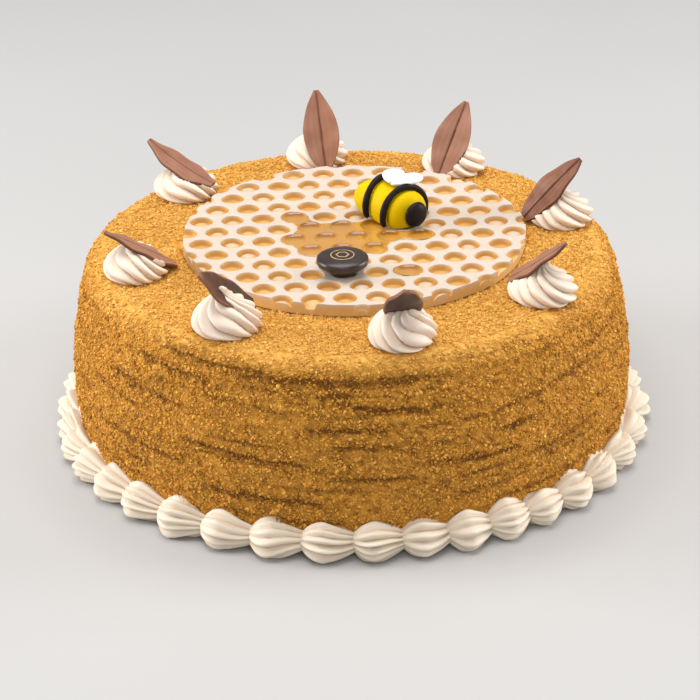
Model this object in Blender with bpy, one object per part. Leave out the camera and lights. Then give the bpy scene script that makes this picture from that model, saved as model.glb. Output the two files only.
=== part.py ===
"""Medovik honey cake: a tall crumbed cake with a piped cream shell border round its foot.

On top lie a white chocolate honeycomb plaque, eight cream rosettes that each carry a chocolate
leaf, a fondant bee, a dark chocolate button and honey in some of the plaque's cells.
Metres, +Z up, origin at the middle of the cake's base. The cake is seen from -Y.
"""

import math
import random

import bmesh
import bpy
from mathutils import Matrix, Vector

MM = 0.001
GAP = 0.3 * MM
CUT_OVER = 2.0 * MM

# Cake
CAKE_RADIUS = 115.0 * MM
CAKE_HEIGHT = 79.4 * MM
CAKE_SEGMENTS = 60
SMOOTH_BELOW = math.radians(40)
WIDEST_SHARE = 0.4
FOOT_DRAW_IN = 2.7 * MM
TOP_DRAW_IN = 8.0 * MM
TOP_DRAW_POWER = 1.6
TOP_EDGE_ROUND = 7.0 * MM
TOP_EDGE_ANGLES = (0, 30, 60)
LAYERS = 7
LAYER_GROOVE = 1.1 * MM
# A groove's depth as a share, and its swings: (share, waves round the cake, turn for each layer)
GROOVE_SHARE = 0.65
GROOVE_SWINGS = ((0.20, 3, 1.7), (0.14, 7, 2.3))

# Shell border
SHELLS = 38
SHELL_REACH = 11.0 * MM
SHELL_CROWN = 11.5 * MM
SHELL_MIDDLE = 5.0 * MM
SHELL_UNDERCUT = 7.5 * MM
SHELL_RIDGES = 5
SHELL_RIDGE = 0.055
SHELL_STATIONS = ((0.0, 0.74), (0.16, 0.93), (0.45, 1.0), (0.78, 0.88))
SHELL_UNEVEN = 0.03
SHELL_WALL_GAP = 0.35 * MM
SHELL_TOP_EDGE = 1.2 * MM
SHELL_START = math.radians(-90.6)

# Honeycomb plaque
PLAQUE_RADIUS = 70.3 * MM
PLAQUE_THICK = 5.0 * MM
PLAQUE_CENTRE = Vector((1.9, 3.2, 0.0)) * MM
PLAQUE_SEGMENTS = 60
# How the rim wavers: (reach, waves round it, turn)
PLAQUE_WAVES = ((0.5 * MM, 3, 0.6), (0.35 * MM, 8, 0.0))
CELL_PITCH = 12.8 * MM
CELL_ROW = 11.35 * MM
CELL_SHIFT = 0.467 * CELL_PITCH
CELL_TURN = math.radians(3.3)
CELL_FIRST = Vector((-23.58, 63.42, 0.0)) * MM
CELL_RADIUS = 4.9 * MM
CELL_DEPTH = 3.3 * MM
CELL_DOME = 0.9 * MM
CELL_SIDES = 6
CELL_RIM_LEAST = 0.6 * MM
# A cell is cut where at least this share of its radius lies inside the rim
CELL_INSIDE = 0.5
CELL_ROWS = range(-2, 14)
CELL_PLACES = range(-14, 12)

# Cells of the plaque that hold honey, as (row, place in the row) from the first cell
HONEY_CELLS = ((4, -2), (5, -2), (5, -1), (5, 0), (6, -3), (6, -2), (6, -1), (6, 0), (6, 1),
               (7, -3), (7, -2), (7, -1), (9, -1))

# Rosettes
ROSETTE_RIDGES = 8
ROSETTE_TWIST = math.radians(-150)
ROSETTE_RIDGE = 0.085
# How much further each rosette is turned than the one before it
ROSETTE_TURN_STEP = 0.9
# (height, radius) in mm
ROSETTE_PROFILE = ((0.0, 12.3), (2.4, 13.7), (6.0, 12.9), (9.3, 9.7), (12.0, 6.4), (14.2, 3.0),
                   (16.4, 1.1))

# Leaves
LEAF_LENGTH = 34.0 * MM
LEAF_WIDTH = 15.2 * MM
LEAF_THICK = 1.4 * MM
LEAF_WAVE = 0.35 * MM
LEAF_STEPS = 7
LEAF_WAVES = 2.6
# The outline is a sine from near its start to near its end, widest before the middle
LEAF_OUTLINE_START = 0.07
LEAF_OUTLINE_SPAN = 0.90
LEAF_OUTLINE_LEAN = 0.9
LEAF_OUTLINE_FULL = 0.85
LEAF_CLEAR = 0.35 * MM
NOTCH_RISE = 26.0 * MM

# Each rosette with its leaf: place round the cake in degrees, distance from the middle in mm,
# then the leaf's heading, tilt and roll in degrees, its foot's place in mm: along its heading
# from the rosette's middle, and above the cake, and how far in mm it is folded and arched
ROSETTES = (
    (140.0, 90.4, 154.0, 27.0, 2.0, -12.5, 5.4, -0.6, -1.0),
    (98.3, 92.5, 103.5, 62.0, -16.0, -16.0, 3.0, 2.0, 0.2),
    (60.0, 92.0, 56.5, 48.5, 16.0, -12.1, 2.2, 1.1, 0.3),
    (14.3, 91.2, 6.0, 47.0, 18.0, -15.8, 2.2, 0.5, 0.6),
    (-34.4, 92.0, -38.0, 39.6, 14.0, -15.6, 3.2, 0.2, -0.6),
    (-77.6, 90.5, -86.0, 43.5, 2.5, -5.0, 6.2, 0.8, -0.2),
    (-122.4, 89.5, -139.0, 39.0, -39.0, -12.0, 5.4, 0.3, -1.6),
    (-165.2, 88.8, -161.0, 33.0, 0.0, -16.6, 1.6, -0.5, 0.4),
)

# Bee. It is pressed flat underneath, and its body turns a little between the two bands. Places
# along it are measured from half way between the bands, towards the head
BAND_ALONG = 6.9 * MM
BAND_RING_RADII = (10.05 * MM, 11.0 * MM)
BAND_ROPE_RADIUS = 1.35 * MM
BAND_OPEN = (math.radians(126), math.radians(142))
BAND_STEPS = 14
BAND_SIDES = 6
BEE_MIDDLE = Vector((18.3, 16.5, 0.0)) * MM
BEE_HEADINGS = (math.radians(-39), math.radians(-54))
BEE_AXIS_HEIGHTS = (5.5 * MM, 4.3 * MM)
BEE_SEGMENTS = 16
# The body, as (place along it, radius) in mm
BEE_PROFILE = ((-19.4, 0.0), (-18.4, 3.2), (-15.6, 6.0), (-12.2, 7.8), (-8.8, 8.6), (-8.5, 8.2),
               (-5.3, 8.3), (-5.0, 9.4), (0.0, 10.1), (4.9, 10.1), (5.3, 9.2), (8.5, 9.2),
               (8.8, 9.7), (11.2, 8.3), (13.0, 5.4), (13.0, 0.0))
FACE_ALONG = 13.3 * MM
FACE_RISE = 1.6 * MM
# The face, a flattened ball, as (place along the body, radius) in mm from its own back
FACE_PROFILE = ((0.0, 3.8), (1.6, 5.4), (3.2, 4.2), (4.2, 0.0))
FACE_SEGMENTS = 14
WING_THICK = 1.6 * MM
WING_POINTS = 14
WING_ROOT = Vector((18.2, 14.0, 15.6)) * MM
WING_STEP = 1.9 * MM
WING_TILT = math.radians(12)
# Heading in degrees, length and width in mm of each wing
WINGS = ((36.0, 16.0, 11.5), (92.0, 13.0, 9.5))
# Share of its full width that a wing keeps at its narrow root, and of its outline at its faces
WING_ROOT_SHARE = 0.5
WING_FACE_SHARE = 0.86

# Dark chocolate button: a domed cap on a narrower foot
BUTTON_PLACE = Vector((-2.9, -37.6, 0.0)) * MM
BUTTON_SEGMENTS = 20
# (height, radius) in mm
BUTTON_PROFILE = ((0.0, 5.4), (3.9, 5.7), (4.6, 9.3), (5.6, 10.4), (6.7, 10.0), (7.5, 7.6), (7.8, 0.0))

COLOURS = {
    "crumb": ((0.60, 0.30, 0.075), 0.95),
    "cream": ((0.84, 0.71, 0.57), 0.55),
    "white_chocolate": ((0.88, 0.76, 0.62), 0.45),
    "honey": ((0.72, 0.34, 0.04), 0.08),
    "milk_chocolate": ((0.36, 0.16, 0.11), 0.45),
    "yellow_fondant": ((0.93, 0.72, 0.01), 0.5),
    "black_fondant": ((0.025, 0.018, 0.018), 0.4),
    "white_fondant": ((0.86, 0.87, 0.87), 0.55),
    "dark_chocolate": ((0.045, 0.028, 0.026), 0.3),
}


def clear_scene():
    for thing in list(bpy.data.objects):
        bpy.data.objects.remove(thing)


def make_materials():
    made = {}
    for name, (colour, roughness) in COLOURS.items():
        material = bpy.data.materials.new(name)
        material.use_nodes = True
        shader = material.node_tree.nodes["Principled BSDF"]
        shader.inputs["Base Color"].default_value = (*colour, 1.0)
        shader.inputs["Roughness"].default_value = roughness
        shader.inputs["Metallic"].default_value = 0.0
        made[name] = material
    return made


def add_object(name, bm, material):
    """Turns the bmesh into a named object with faces out and its round parts shaded smooth."""
    bmesh.ops.recalc_face_normals(bm, faces=bm.faces)
    mesh = bpy.data.meshes.new(name)
    bm.to_mesh(mesh)
    bm.free()
    mesh.shade_smooth()
    mesh.set_sharp_from_angle(angle=SMOOTH_BELOW)
    mesh.materials.append(material)
    thing = bpy.data.objects.new(name, mesh)
    bpy.context.scene.collection.objects.link(thing)
    return thing


def loft(rings):
    """A closed body through rings of equal length. A ring of one point is a pole."""
    bm = bmesh.new()
    rows = [[bm.verts.new(point) for point in ring] for ring in rings]
    for low, high in zip(rows, rows[1:]):
        count = max(len(low), len(high))
        for i in range(count):
            j = (i + 1) % count
            if len(low) == 1:
                bm.faces.new((low[0], high[j], high[i]))
            elif len(high) == 1:
                bm.faces.new((low[i], low[j], high[0]))
            else:
                bm.faces.new((low[i], low[j], high[j], high[i]))
    for row in (rows[0], rows[-1]):
        if len(row) > 1:
            bm.faces.new(row)
    return bm


def around(radius, height, count, turn=0.0):
    return [Vector((radius * math.cos(turn + math.tau * i / count),
                    radius * math.sin(turn + math.tau * i / count), height)) for i in range(count)]


def cake_radius(height):
    """The cake's outer radius at a height, widest a little below the middle."""
    share = height / CAKE_HEIGHT
    if share <= WIDEST_SHARE:
        return CAKE_RADIUS - FOOT_DRAW_IN * ((WIDEST_SHARE - share) / WIDEST_SHARE) ** 2
    rise = (share - WIDEST_SHARE) / (1.0 - WIDEST_SHARE)
    radius = CAKE_RADIUS - TOP_DRAW_IN * rise ** TOP_DRAW_POWER
    into_edge = height - (CAKE_HEIGHT - TOP_EDGE_ROUND)
    if into_edge > 0.0:
        radius -= TOP_EDGE_ROUND * (1.0 - math.sqrt(max(0.0, 1.0 - (into_edge / TOP_EDGE_ROUND) ** 2)))
    return radius


def groove_depth(angle, layer):
    """How deep the joint over a layer is pressed in, between a third and all of its depth."""
    swing = sum(share * math.sin(waves * angle + turn * layer) for share, waves, turn in GROOVE_SWINGS)
    return LAYER_GROOVE * (GROOVE_SHARE + swing)


def make_cake(materials):
    """One solid: crumbed layers whose joints show as shallow uneven grooves round the side."""
    rings = []
    side_top = CAKE_HEIGHT - TOP_EDGE_ROUND
    step = side_top / LAYERS
    for layer in range(LAYERS):
        height = layer * step
        ring = around(cake_radius(height), height, CAKE_SEGMENTS)
        if layer > 0:
            for point in ring:
                angle = math.atan2(point.y, point.x)
                kept = 1.0 - groove_depth(angle, layer) / cake_radius(height)
                point.x *= kept
                point.y *= kept
        rings.append(ring)
        middle = (layer + 0.5) * step
        rings.append(around(cake_radius(middle), middle, CAKE_SEGMENTS))
    for angle in TOP_EDGE_ANGLES:
        height = side_top + TOP_EDGE_ROUND * math.sin(math.radians(angle))
        rings.append(around(cake_radius(height), height, CAKE_SEGMENTS))
    rings.append(around(cake_radius(CAKE_HEIGHT), CAKE_HEIGHT, CAKE_SEGMENTS))
    rings.append([Vector((0, 0, CAKE_HEIGHT))])
    return add_object("cake_body", loft(rings), materials["crumb"])


def shell_section(angle, size):
    """One upright slice through the border: flat below, against the cake inside, ridged outside."""
    foot = math.asin(SHELL_MIDDLE / SHELL_UNDERCUT)
    top = (SHELL_MIDDLE + SHELL_CROWN) * size
    points = [(cake_radius(0.0) + SHELL_WALL_GAP, 0.0)]
    count = 2 * SHELL_RIDGES + 1
    for i in range(count):
        lean = -foot + (math.pi / 2 + foot) * i / (count - 1)
        ridge = 1.0 + (SHELL_RIDGE if i % 2 else -SHELL_RIDGE)
        if i == 0 or i == count - 1:
            ridge = 1.0
        rise = SHELL_CROWN if lean > 0 else SHELL_UNDERCUT
        height = (SHELL_MIDDLE + ridge * rise * math.sin(lean)) * size
        points.append((CAKE_RADIUS + SHELL_REACH * size * ridge * math.cos(lean), max(height, 0.0)))
    wall = cake_radius(top) + SHELL_WALL_GAP
    points[-1] = (wall + SHELL_TOP_EDGE, top)
    points.append((wall, top - SHELL_TOP_EDGE))
    return [Vector((r * math.cos(angle), r * math.sin(angle), z)) for r, z in points]


def make_border(materials):
    """The piped shells, one run of cream: each starts as a fat head and narrows to its tail."""
    dice = random.Random(11)
    half = [1.0 + dice.uniform(-SHELL_UNEVEN, SHELL_UNEVEN) for _ in range(SHELLS // 2)]
    sections = []
    for shell in range(SHELLS):
        uneven = half[shell % len(half)]
        for share, size in SHELL_STATIONS:
            angle = SHELL_START + math.tau * (shell + share) / SHELLS
            factor = size if share == 0.0 else size * uneven
            sections.append(shell_section(angle, factor))
    bm = bmesh.new()
    rows = [[bm.verts.new(point) for point in section] for section in sections]
    for row, after in zip(rows, rows[1:] + rows[:1]):
        for i in range(len(row)):
            j = (i + 1) % len(row)
            bm.faces.new((row[i], after[i], after[j], row[j]))
    return add_object("shell_border", bm, materials["cream"])


def cell_place(row, place):
    """Middle of one honeycomb cell: each row is shifted by nearly half a pitch from the last."""
    flat = Vector((place * CELL_PITCH + row * CELL_SHIFT, -row * CELL_ROW, 0.0))
    return CELL_FIRST + Matrix.Rotation(CELL_TURN, 3, "Z") @ flat


def plaque_radius(angle):
    return PLAQUE_RADIUS + sum(reach * math.sin(waves * angle + turn) for reach, waves, turn in PLAQUE_WAVES)


def cell_radius(place):
    """A cell that would leave a paper-thin wall at the plaque's rim is made smaller."""
    from_middle = place - PLAQUE_CENTRE
    over = from_middle.length + CELL_RADIUS - plaque_radius(math.atan2(from_middle.y, from_middle.x))
    return CELL_RADIUS - 2 * CELL_RIM_LEAST if abs(over) < CELL_RIM_LEAST else CELL_RADIUS


def cells_on_plaque():
    cells = []
    for row in CELL_ROWS:
        for place in CELL_PLACES:
            middle = cell_place(row, place)
            from_middle = middle - PLAQUE_CENTRE
            reach = plaque_radius(math.atan2(from_middle.y, from_middle.x))
            if from_middle.length - CELL_INSIDE * CELL_RADIUS < reach:
                cells.append((row, place, middle))
    return cells


def plaque_top():
    return CAKE_HEIGHT + GAP + PLAQUE_THICK


def make_plaque(materials):
    """A sheet with a pit for each cell; the pits' floors swell up in the middle."""
    rings = []
    for height in (0.0, PLAQUE_THICK):
        rings.append([PLAQUE_CENTRE + Vector((plaque_radius(a) * math.cos(a), plaque_radius(a) * math.sin(a),
                                              CAKE_HEIGHT + GAP + height))
                      for a in (math.tau * i / PLAQUE_SEGMENTS for i in range(PLAQUE_SEGMENTS))])
    plaque = add_object("honeycomb_plaque", loft(rings), materials["white_chocolate"])

    bm = bmesh.new()
    top = plaque_top()
    for _, _, middle in cells_on_plaque():
        radius = cell_radius(middle)
        turn = CELL_TURN + math.pi / 2
        low = [bm.verts.new(middle + p) for p in around(radius, top - CELL_DEPTH, CELL_SIDES, turn)]
        high = [bm.verts.new(middle + p) for p in around(radius, top + CUT_OVER, CELL_SIDES, turn)]
        crown = bm.verts.new(middle + Vector((0, 0, top - CELL_DEPTH + CELL_DOME)))
        for i in range(CELL_SIDES):
            j = (i + 1) % CELL_SIDES
            bm.faces.new((low[i], low[j], high[j], high[i]))
            bm.faces.new((low[j], low[i], crown))
        bm.faces.new(high)
    pits = add_object("plaque_pits_cutter", bm, materials["white_chocolate"])
    cut_from(plaque, pits)
    return plaque


def cut_from(thing, cutter):
    """Subtracts the cutter, which stays in the file as a hidden guide."""
    cutter.hide_render = True
    cutter.display_type = "WIRE"
    cut = thing.modifiers.new("cut", "BOOLEAN")
    cut.operation = "DIFFERENCE"
    cut.solver = "EXACT"
    cut.object = cutter


def make_honey(materials):
    """Honey in single cells, level with the plaque, a hair clear of each pit's wall and floor."""
    top = plaque_top()
    for number, (row, place) in enumerate(HONEY_CELLS, 1):
        middle = cell_place(row, place)
        radius = cell_radius(middle) - GAP / math.cos(math.pi / CELL_SIDES)
        turn = CELL_TURN + math.pi / 2
        rings = [around(radius, top - CELL_DEPTH + CELL_DOME + GAP, CELL_SIDES, turn),
                 around(radius, top - GAP, CELL_SIDES, turn),
                 [Vector((0, 0, top))]]
        bm = loft([[middle + point for point in ring] for ring in rings])
        add_object(f"honey_cell_{number}", bm, materials["honey"])


def leaf_sheet(fold, arch, margin=0.0):
    """The leaf's middle surface from foot to tip: a pointed oval, folded along its midrib."""
    bm = bmesh.new()
    rows = []
    length = LEAF_LENGTH + 2 * margin
    for i in range(LEAF_STEPS + 1):
        share = i / LEAF_STEPS
        along = (LEAF_OUTLINE_START + LEAF_OUTLINE_SPAN * share) ** LEAF_OUTLINE_LEAN
        half = LEAF_WIDTH / 2 * math.sin(math.pi * along) ** LEAF_OUTLINE_FULL + margin
        x = share * length - margin
        drop = -arch * (2 * share - 1) ** 2
        row = []
        for side in (-1, 0, 1):
            wave = LEAF_WAVE * side * math.sin(LEAF_WAVES * math.tau * share)
            rise = fold * abs(side) * half / (LEAF_WIDTH / 2)
            row.append(bm.verts.new((x, side * half, drop + rise + wave)))
        rows.append(row)
    for row, after in zip(rows, rows[1:]):
        for k in (0, 1):
            bm.faces.new((row[k], after[k], after[k + 1], row[k + 1]))
    bmesh.ops.recalc_face_normals(bm, faces=bm.faces)
    if sum(face.normal.z for face in bm.faces) < 0:
        bmesh.ops.reverse_faces(bm, faces=bm.faces)
    bmesh.ops.triangulate(bm, faces=bm.faces)
    return bm


def leaf_body(fold, arch, below, above, margin=0.0):
    """The sheet thickened straight up and down, both faces split alike."""
    bm = leaf_sheet(fold, arch, margin)
    sheet = bm.faces[:]
    upper = bmesh.ops.extrude_face_region(bm, geom=sheet)["geom"]
    raised = [v for v in upper if isinstance(v, bmesh.types.BMVert)]
    bmesh.ops.translate(bm, verts=raised, vec=(0, 0, above + below))
    bmesh.ops.translate(bm, verts=bm.verts, vec=(0, 0, -below))
    return bm


def make_rosette(number, azimuth, distance, placing, fold, arch, materials):
    """A swirled star rosette with a small peak, notched where its leaf is pressed in."""
    count = 2 * ROSETTE_RIDGES
    height_all = ROSETTE_PROFILE[-1][0]
    start = ROSETTE_TURN_STEP * number
    rings = []
    for height, radius in ROSETTE_PROFILE:
        turn = start + ROSETTE_TWIST * height / height_all
        ring = around(1.0, height * MM, count, turn)
        for i, point in enumerate(ring):
            reach = radius * MM * (1.0 + (ROSETTE_RIDGE if i % 2 else -ROSETTE_RIDGE))
            point.x *= reach
            point.y *= reach
        rings.append(ring)
    rosette = add_object(f"rosette_{number}", loft(rings), materials["cream"])
    rosette.location = (distance * math.cos(azimuth), distance * math.sin(azimuth), CAKE_HEIGHT + GAP)

    notch = leaf_body(fold, arch, LEAF_THICK / 2 + LEAF_CLEAR, NOTCH_RISE, LEAF_CLEAR)
    cutter = add_object(f"rosette_{number}_notch_cutter", notch, materials["cream"])
    cutter.matrix_world = placing
    cut_from(rosette, cutter)


def make_rosettes_and_leaves(materials):
    for number, (place, distance, heading, tilt, roll, along, up, fold, arch) in enumerate(ROSETTES, 1):
        azimuth = math.radians(place)
        distance *= MM
        turn = Matrix.Rotation(math.radians(heading), 4, "Z")
        foot = Vector((distance * math.cos(azimuth), distance * math.sin(azimuth), CAKE_HEIGHT + up * MM))
        foot += turn @ Vector((along * MM, 0, 0))
        placing = (Matrix.Translation(foot) @ turn @ Matrix.Rotation(-math.radians(tilt), 4, "Y")
                   @ Matrix.Rotation(math.radians(roll), 4, "X"))
        body = leaf_body(fold * MM, arch * MM, LEAF_THICK / 2, LEAF_THICK / 2)
        leaf = add_object(f"leaf_{number}", body, materials["milk_chocolate"])
        leaf.matrix_world = placing
        make_rosette(number, azimuth, distance, placing, fold * MM, arch * MM, materials)


def turned(profile, segments):
    """A closed body turned about +Z from (height, radius) pairs."""
    rings = [[Vector((0, 0, height))] if radius == 0.0 else around(radius, height, segments)
             for height, radius in profile]
    return loft(rings)


def bee_frame(along):
    """The bee's axes at a place along its body: +Z runs along the body, +X points up."""
    share = min(max((along + BAND_ALONG) / (2 * BAND_ALONG), 0.0), 1.0)
    turn_to = BEE_HEADINGS[0] + share * (BEE_HEADINGS[1] - BEE_HEADINGS[0])
    height = BEE_AXIS_HEIGHTS[0] + share * (BEE_AXIS_HEIGHTS[1] - BEE_AXIS_HEIGHTS[0])
    middle_heading = (BEE_HEADINGS[0] + BEE_HEADINGS[1]) / 2
    # The bent part is short, so its chord stands for its arc
    bent = min(max(along, -BAND_ALONG), BAND_ALONG)
    half_turned = middle_heading + (turn_to - middle_heading) / 2
    place = BEE_MIDDLE + bent * Vector((math.cos(half_turned), math.sin(half_turned), 0))
    heading = Vector((math.cos(turn_to), math.sin(turn_to), 0))
    place += (along - bent) * heading
    place.z = plaque_top() + GAP + height
    up = Vector((0, 0, 1))
    turn = Matrix((up, heading.cross(up), heading)).transposed()
    return Matrix.Translation(place) @ turn.to_4x4()


def make_band(number, along, ring_radius, opening, material):
    """A rope of black fondant laid over the body, open underneath."""
    rings = []
    for i in range(BAND_STEPS + 1):
        angle = math.pi + opening / 2 + (math.tau - opening) * i / BAND_STEPS
        out = Vector((math.cos(angle), math.sin(angle), 0))
        rings.append([out * (ring_radius + BAND_ROPE_RADIUS * math.cos(t))
                      + Vector((0, 0, BAND_ROPE_RADIUS * math.sin(t)))
                      for t in (math.tau * k / BAND_SIDES for k in range(BAND_SIDES))])
    band = add_object(f"bee_band_{number}", loft(rings), material)
    band.matrix_world = bee_frame(along)


def make_bee(materials):
    """The body is round in section with a flat underside, grooved where the bands lie."""
    floor = plaque_top() + GAP
    rings = []
    for z, radius in BEE_PROFILE:
        frame = bee_frame(z * MM)
        ring = [Vector((0, 0, 0))] if radius == 0.0 else around(radius * MM, 0.0, BEE_SEGMENTS)
        ring = [frame @ point for point in ring]
        for point in ring:
            point.z = max(point.z, floor)
        rings.append(ring)
    add_object("bee_body", loft(rings), materials["yellow_fondant"])
    bands = zip((-BAND_ALONG, BAND_ALONG), BAND_RING_RADII, BAND_OPEN)
    for number, (along, radius, opening) in enumerate(bands, 1):
        make_band(number, along, radius, opening, materials["black_fondant"])

    flat = [(z * MM, radius * MM) for z, radius in FACE_PROFILE]
    face = add_object("bee_face", turned(flat, FACE_SEGMENTS), materials["black_fondant"])
    face.matrix_world = bee_frame(FACE_ALONG) @ Matrix.Translation((FACE_RISE, 0, 0))

    for number, (heading, length, width) in enumerate(WINGS, 1):
        wing = make_wing(number, length * MM, width * MM, materials["white_fondant"])
        root = WING_ROOT + Vector((0, 0, floor + (number - 1) * WING_STEP))
        wing.matrix_world = (Matrix.Translation(root) @ Matrix.Rotation(math.radians(heading), 4, "Z")
                             @ Matrix.Rotation(-WING_TILT, 4, "Y"))


def make_wing(number, length, width, material):
    """A flat oval, narrow at its root, with a rounded outer end."""
    outline = []
    for i in range(WING_POINTS):
        angle = math.tau * i / WING_POINTS
        x = length * (0.5 - 0.5 * math.cos(angle))
        y = width / 2 * math.sin(angle) * (WING_ROOT_SHARE + (1 - WING_ROOT_SHARE) * x / length)
        outline.append(Vector((x, y, 0)))
    middle = Vector((length / 2, 0, 0))
    rings = []
    for height, share in ((0.0, WING_FACE_SHARE), (WING_THICK / 2, 1.0), (WING_THICK, WING_FACE_SHARE)):
        rings.append([middle + (point - middle) * share + Vector((0, 0, height)) for point in outline])
    return add_object(f"bee_wing_{number}", loft(rings), material)


def make_button(materials):
    profile = [(z * MM, r * MM) for z, r in BUTTON_PROFILE]
    button = add_object("chocolate_button", turned(profile, BUTTON_SEGMENTS), materials["dark_chocolate"])
    button.location = BUTTON_PLACE + Vector((0, 0, plaque_top() + GAP))


clear_scene()
palette = make_materials()
make_cake(palette)
make_border(palette)
make_plaque(palette)
make_honey(palette)
make_rosettes_and_leaves(palette)
make_bee(palette)
make_button(palette)
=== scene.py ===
"""Medovik honey cake: crumbed layers, a piped shell border, and a honeycomb plaque on top.

The plaque carries a fondant bee, a dark chocolate button and honey; eight rosettes with
chocolate leaves stand round it. Metres, +Z up, the cake is seen from -Y.
"""

import math

import bpy
import numpy as np
from mathutils import Matrix, Vector


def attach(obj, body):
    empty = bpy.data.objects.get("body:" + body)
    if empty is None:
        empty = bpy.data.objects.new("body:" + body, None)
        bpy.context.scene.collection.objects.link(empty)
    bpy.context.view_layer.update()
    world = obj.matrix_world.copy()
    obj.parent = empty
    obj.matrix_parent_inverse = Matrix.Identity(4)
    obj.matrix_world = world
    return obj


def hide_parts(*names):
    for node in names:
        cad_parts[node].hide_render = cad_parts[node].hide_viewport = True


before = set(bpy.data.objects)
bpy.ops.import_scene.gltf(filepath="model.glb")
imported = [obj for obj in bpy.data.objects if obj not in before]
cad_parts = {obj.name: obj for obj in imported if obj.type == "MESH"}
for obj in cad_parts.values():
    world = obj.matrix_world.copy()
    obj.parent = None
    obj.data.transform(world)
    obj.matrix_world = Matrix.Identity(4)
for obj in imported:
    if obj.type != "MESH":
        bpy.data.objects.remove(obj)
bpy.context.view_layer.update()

# The photographer's corner
# A plain pale table with a lamp box overhead, one on each side and a weak one in front.
# The camera stands on a tripod in front of the cake, looking down at 26 degrees.
MM = 0.001
TRIPOD_PLACE = (-0.000588, -1.08445, 0.56767)
LOOK_DOWN, CAMERA_LEAN = 0.4589, -0.0183
TABLE_RADIUS = 3.5
TABLE_GAP = 0.0003
scene = bpy.context.scene
scene.view_settings.view_transform = "Standard"


def put_down():
    """Leaves nothing selected, so that the next step acts on its own piece alone."""
    if bpy.context.object and bpy.context.object.mode == "EDIT":
        bpy.ops.object.mode_set(mode="OBJECT")
    bpy.ops.object.select_all(action="DESELECT")


put_down()
bpy.ops.object.camera_add()
camera = bpy.context.object
camera.name = "camera"
camera.data.lens = 149.14
camera.data.sensor_width = 36.0
camera.data.clip_start = 0.05
camera.matrix_world = (Matrix.Translation(TRIPOD_PLACE)
                       @ Matrix.Rotation(math.pi / 2 - LOOK_DOWN, 4, "X")
                       @ Matrix.Rotation(CAMERA_LEAN, 4, "Z"))
scene.camera = camera

put_down()
bpy.ops.mesh.primitive_circle_add(vertices=96, radius=TABLE_RADIUS, fill_type="NGON",
                                  location=(0, 0, -TABLE_GAP))
bpy.ops.object.transform_apply(location=True)
table = bpy.context.object
table.name = "table"


def new_material(name):
    """A new material, its node tree and its one Principled shader."""
    material = bpy.data.materials.new(name)
    material.use_nodes = True
    tree = material.node_tree
    shader = tree.nodes["Principled BSDF"]
    return material, tree, shader


def add_node(tree, kind, links=(), **values):
    """Adds a node; values set its sockets by name, or its settings; links are (socket, from)."""
    node = tree.nodes.new(kind)
    for key, value in values.items():
        socket = key.replace("_", " ").title()
        if hasattr(node, key):
            setattr(node, key, value)
        else:
            node.inputs[socket].default_value = value
    for socket, source in links:
        tree.links.new(source, node.inputs[socket])
    return node


def add_ramp(tree, source, stops):
    """A colour ramp through (place, colour) stops."""
    ramp = tree.nodes.new("ShaderNodeValToRGB")
    while len(ramp.color_ramp.elements) < len(stops):
        ramp.color_ramp.elements.new(1.0)
    for element, (place, colour) in zip(ramp.color_ramp.elements, stops):
        element.position = place
        element.color = (*colour, 1.0)
    tree.links.new(source, ramp.inputs["Fac"])
    return ramp.outputs["Color"]


def add_noise(tree, scale, detail):
    """Cloudy noise that is fixed to the piece, with about this many lumps to the metre."""
    where = tree.nodes.new("ShaderNodeTexCoord")
    return add_node(tree, "ShaderNodeTexNoise", scale=scale, detail=detail,
                    links=[("Vector", where.outputs["Object"])]).outputs["Fac"]


table_paint, tree, shader = new_material("pale_table")
shader.inputs["Roughness"].default_value = 0.6
tint = add_ramp(tree, add_noise(tree, 3.0, 2.0), [(0.3, (0.44, 0.435, 0.43)), (0.7, (0.46, 0.455, 0.45))])
tree.links.new(tint, shader.inputs["Base Color"])
table.data.materials.append(table_paint)

# Each lamp: name, place, aimed at, width and height in metres, watts, colour
LAMPS = (
    ("lamp_top", (-0.06, 0.06, 1.30), (0.0, 0.0, 0.06), 1.4, 1.1, 19.5, (1.0, 0.99, 0.98)),
    ("lamp_left", (-1.15, 0.10, 0.42), (0.0, 0.0, 0.05), 0.6, 0.7, 12.5, (1.0, 0.985, 0.965)),
    ("lamp_right", (1.15, 0.16, 0.42), (0.0, 0.0, 0.05), 0.6, 0.7, 10.5, (1.0, 0.985, 0.965)),
    ("lamp_front", (0.1, -1.3, 0.9), (0.0, 0.0, 0.04), 0.8, 0.6, 4.8, (1.0, 0.985, 0.965)),
)
for name, place, target, width, height, watts, colour in LAMPS:
    put_down()
    bpy.ops.object.light_add(type="AREA", location=place)
    lamp = bpy.context.object
    lamp.name = name
    lamp.data.shape = "RECTANGLE"
    lamp.data.size = width
    lamp.data.size_y = height
    lamp.data.energy = watts
    lamp.data.color = colour
    lamp.rotation_euler = (Vector(target) - Vector(place)).to_track_quat("-Z", "Y").to_euler()
    lamp.visible_camera = False

world = bpy.data.worlds.new("studio")
scene.world = world
world.use_nodes = True
world.node_tree.nodes["Background"].inputs["Color"].default_value = (0.93, 0.94, 0.95, 1.0)
world.node_tree.nodes["Background"].inputs["Strength"].default_value = 0.34

# The cake
# Baked honey layers with cream between them, pressed and coated in fine golden crumbs.
# The layers' joints show round the side as faint level strokes: shallow grooves, darkened with painted
# shade.
CAKE_RADIUS = 115.0 * MM
CAKE_HEIGHT = 79.4 * MM
EDGE_ROUND = 7.0 * MM
# The share of the height where the side is widest, and how far foot and top are drawn in
WIDEST_AT, FOOT_DRAWN_IN, TOP_DRAWN_IN = 0.4, 2.7 * MM, 8.0 * MM
# Inside this radius the plaque hides the top
HIDDEN_RADIUS = 60.0 * MM
# From one joint of the layers to the next, and how wide the stroke at a joint is, in mm
LAYER_RISE, JOINT_WIDE = 7.6, 1.1
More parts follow.
